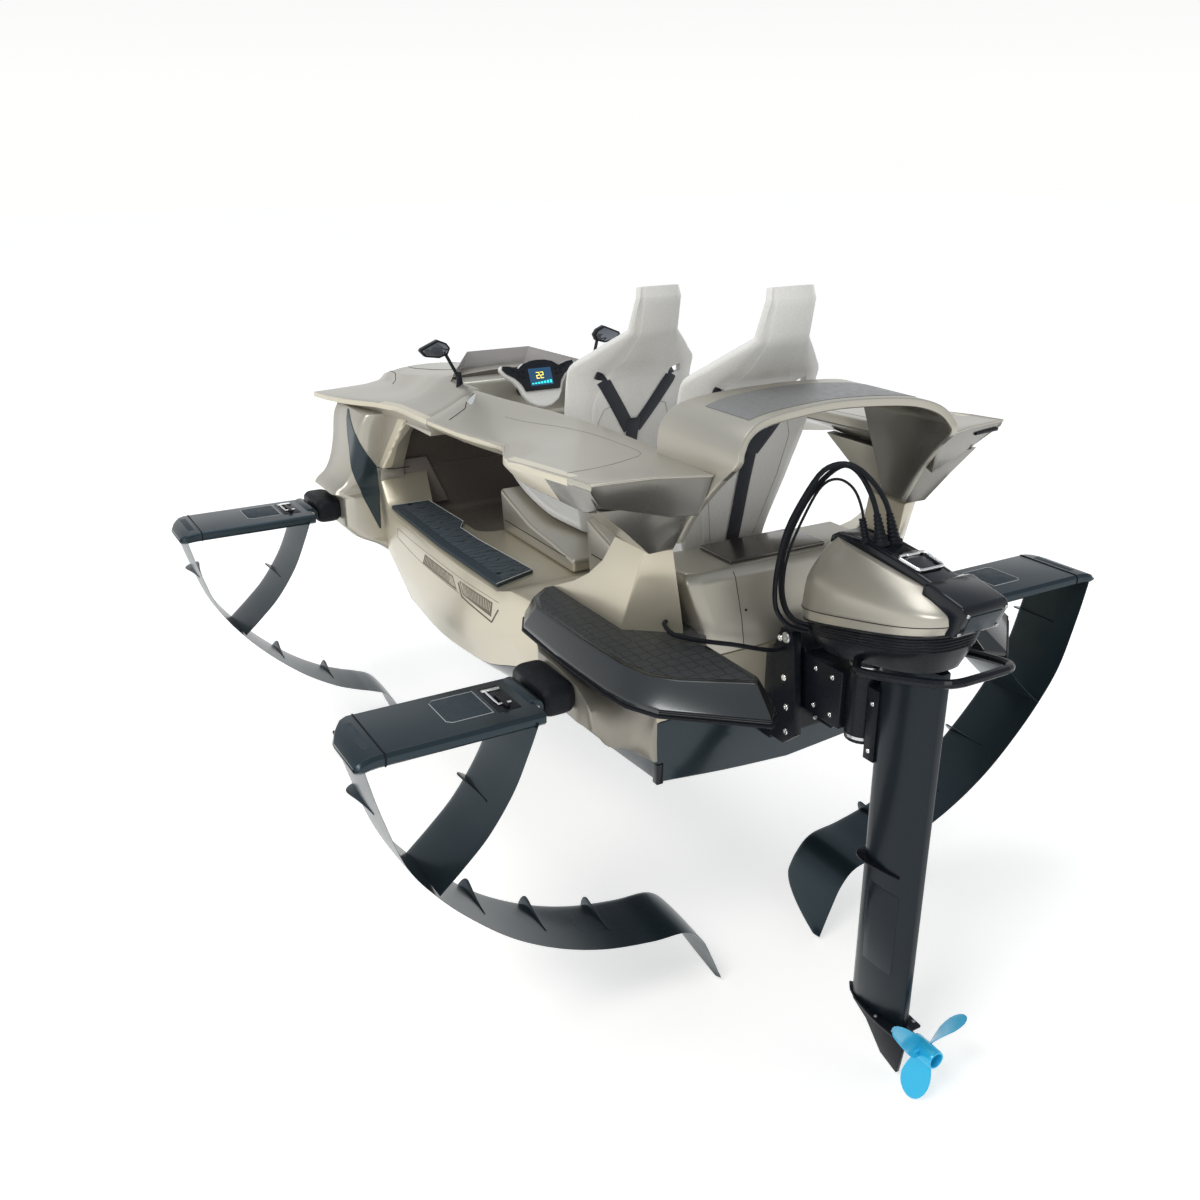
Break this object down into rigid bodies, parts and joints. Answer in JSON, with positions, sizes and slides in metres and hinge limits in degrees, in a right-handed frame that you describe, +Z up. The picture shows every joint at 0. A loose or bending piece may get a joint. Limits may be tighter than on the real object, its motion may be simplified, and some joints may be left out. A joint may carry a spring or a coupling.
{
  "type": "hydrofoil boat",
  "caption": "Small open hydrofoil boat with tandem bucket seats, folding side foils, yoke steering and a tilting, steering electric outboard.",
  "frame": {"origin": "on the centreline at the waterline, midway between the front and the rear foils", "axes": "+X towards the bow, +Y to port, +Z up"},
  "size_m": [3.3611, 2.474, 1.9865],
  "materials": {
    "champagne_paint": "gloss",
    "slate_paint": "satin",
    "seat_shell": "satin",
    "grip_pad": "matte",
    "rubber": "matte",
    "black_casting": "satin",
    "tinted_screen": "gloss",
    "webbing": "matte",
    "propeller_blue": "satin",
    "display_panel": "gloss"
  },
  "bodies": {
    "hull": {"boot_front_port": "rubber", "foil_mount_front_port": "champagne_paint", "boot_front_starboard": "rubber", "foil_mount_front_starboard": "champagne_paint", "seat_front": "seat_shell", "harness_front": "webbing", "seat_base_front": "champagne_paint", "boot_rear_port": "rubber", "foil_mount_rear_port": "champagne_paint", "boot_rear_starboard": "rubber", "foil_mount_rear_starboard": "champagne_paint", "seat_rear": "seat_shell", "harness_rear": "webbing", "seat_base_rear": "champagne_paint", "wing_deck_port": "champagne_paint", "wing_bracket_port": "champagne_paint", "quarter_port": "champagne_paint", "step_pad_port": "grip_pad", "platform_port": "slate_paint", "mirror_port": "black_casting", "wing_deck_starboard": "champagne_paint", "wing_bracket_starboard": "champagne_paint", "quarter_starboard": "champagne_paint", "step_pad_starboard": "grip_pad", "platform_starboard": "slate_paint", "mirror_starboard": "black_casting", "hull_bottom": "slate_paint", "hull_shell": "champagne_paint", "bow_deck": "champagne_paint", "rear_arch": "champagne_paint", "locker_box": "champagne_paint", "locker_lid": "champagne_paint", "dash": "champagne_paint", "steering_column": "black_casting", "windscreen": "tinted_screen", "transom_clamp": "black_casting", "steering_cable": "rubber"},
    "foil_front_port": {"foil_front_port": "slate_paint"},
    "foil_front_starboard": {"foil_front_starboard": "slate_paint"},
    "foil_rear_port": {"foil_rear_port": "slate_paint"},
    "foil_rear_starboard": {"foil_rear_starboard": "slate_paint"},
    "tilt_bracket": {"swivel_bracket": "black_casting"},
    "outboard": {"motor_lower_cowl": "black_casting", "motor_cowl": "champagne_paint", "motor_spine": "black_casting", "motor_handle": "black_casting", "leg": "black_casting", "steer_collar": "black_casting", "gearcase": "black_casting", "power_cable_a": "rubber", "power_cable_b": "rubber", "signal_cable": "rubber"},
    "propeller": {"propeller": "propeller_blue"},
    "helm": {"yoke": "seat_shell", "yoke_panel": "display_panel"}
  },
  "joints": [
    {"name": "foil_fold_front_port", "type": "hinge", "parent": "hull", "child": "foil_front_port", "pos_m": [1.027, 0.745, 0.1], "axis": [1, 0, 0], "range_deg": [0, 75]},
    {"name": "foil_fold_front_starboard", "type": "hinge", "parent": "hull", "child": "foil_front_starboard", "pos_m": [1.027, -0.745, 0.1], "axis": [-1, 0, 0], "range_deg": [0, 75]},
    {"name": "foil_fold_rear_port", "type": "hinge", "parent": "hull", "child": "foil_rear_port", "pos_m": [-0.82, 0.745, 0.1], "axis": [1, 0, 0], "range_deg": [0, 75]},
    {"name": "foil_fold_rear_starboard", "type": "hinge", "parent": "hull", "child": "foil_rear_starboard", "pos_m": [-0.82, -0.745, 0.1], "axis": [-1, 0, 0], "range_deg": [0, 75]},
    {"name": "motor_tilt", "type": "hinge", "parent": "hull", "child": "tilt_bracket", "pos_m": [-1.03, 0, 0.215], "axis": [0, 1, 0], "range_deg": [0, 40]},
    {"name": "motor_steer", "type": "hinge", "parent": "tilt_bracket", "child": "outboard", "pos_m": [-1.235, 0, 0.215], "axis": [0, 0, 1], "range_deg": [-30, 30]},
    {"name": "propeller_turn", "type": "hinge", "parent": "outboard", "child": "propeller", "pos_m": [-1.535, 0, -0.762], "axis": [1, 0, 0], "continuous": true},
    {"name": "yoke_turn", "type": "hinge", "parent": "hull", "child": "helm", "pos_m": [0.545, 0, 0.615], "axis": [0.9063, 0, -0.4226], "range_deg": [-60, 60]}
  ],
  "couplings": [
    {"joint": "motor_steer", "follows": "yoke_turn", "ratio": 0.5}
  ]
}
